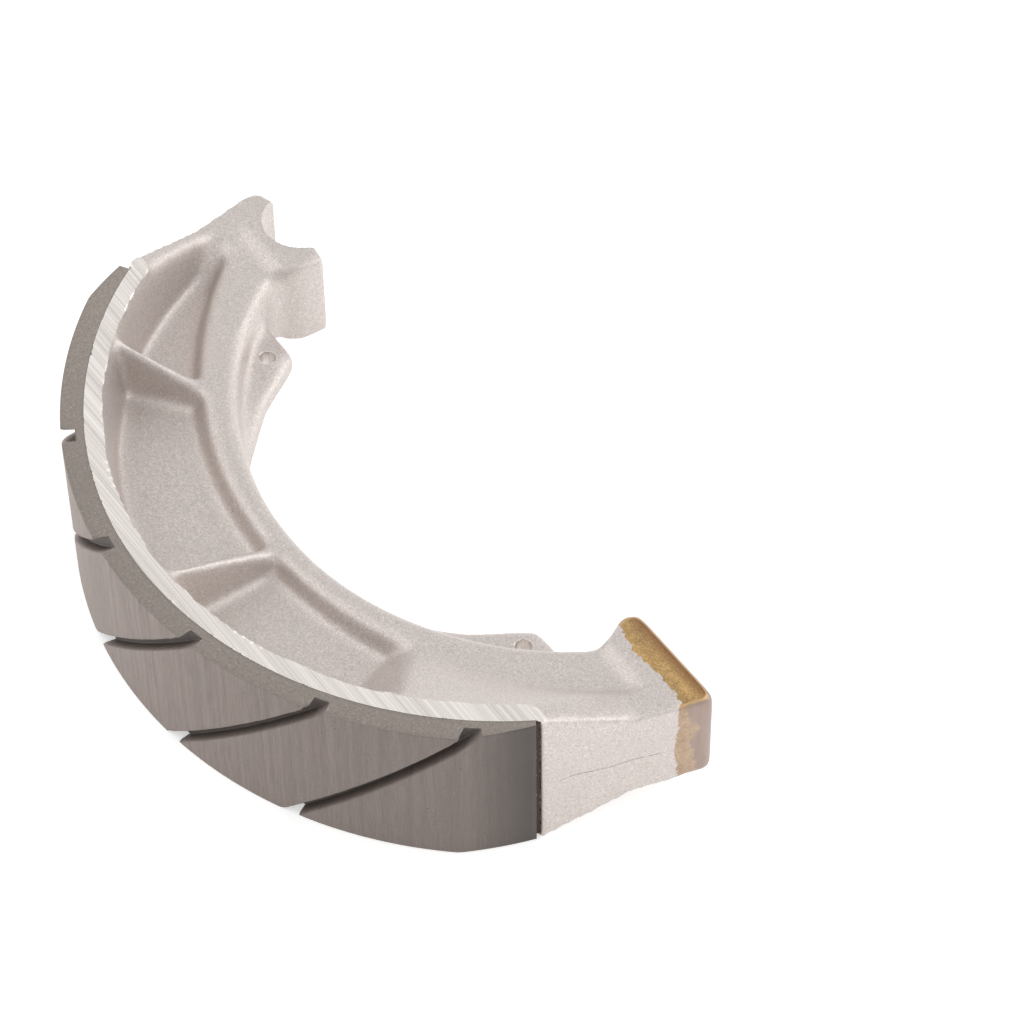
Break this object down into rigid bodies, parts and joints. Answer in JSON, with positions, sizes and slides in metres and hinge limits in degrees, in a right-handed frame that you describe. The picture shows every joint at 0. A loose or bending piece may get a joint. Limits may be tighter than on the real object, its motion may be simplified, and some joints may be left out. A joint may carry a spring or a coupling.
{
  "type": "drum brake shoe",
  "caption": "Cast drum brake shoe: pocketed, ribbed web with a half-round anchor seat at one end, a capped cam face at the other and a curved friction lining with slanting grooves.",
  "frame": {"origin": "on the drum's axis, in the plane of the rim's lower side face, which the shoe lies on", "axes": "+Z along the drum's axis, across the shoe's width; +X along the shoe's chord from the anchor end to the cam end; the lining faces -Y"},
  "size_m": [0.1672, 0.0837, 0.0364],
  "materials": {
    "casting": "shot-blasted casting with machined side faces",
    "lining": "ground moulded friction material",
    "cap": "yellow zinc plated steel"
  },
  "bodies": {
    "root": {"shoe_casting": "casting", "friction_lining": "lining", "cam_wear_cap": "cap"}
  },
  "joints": []
}
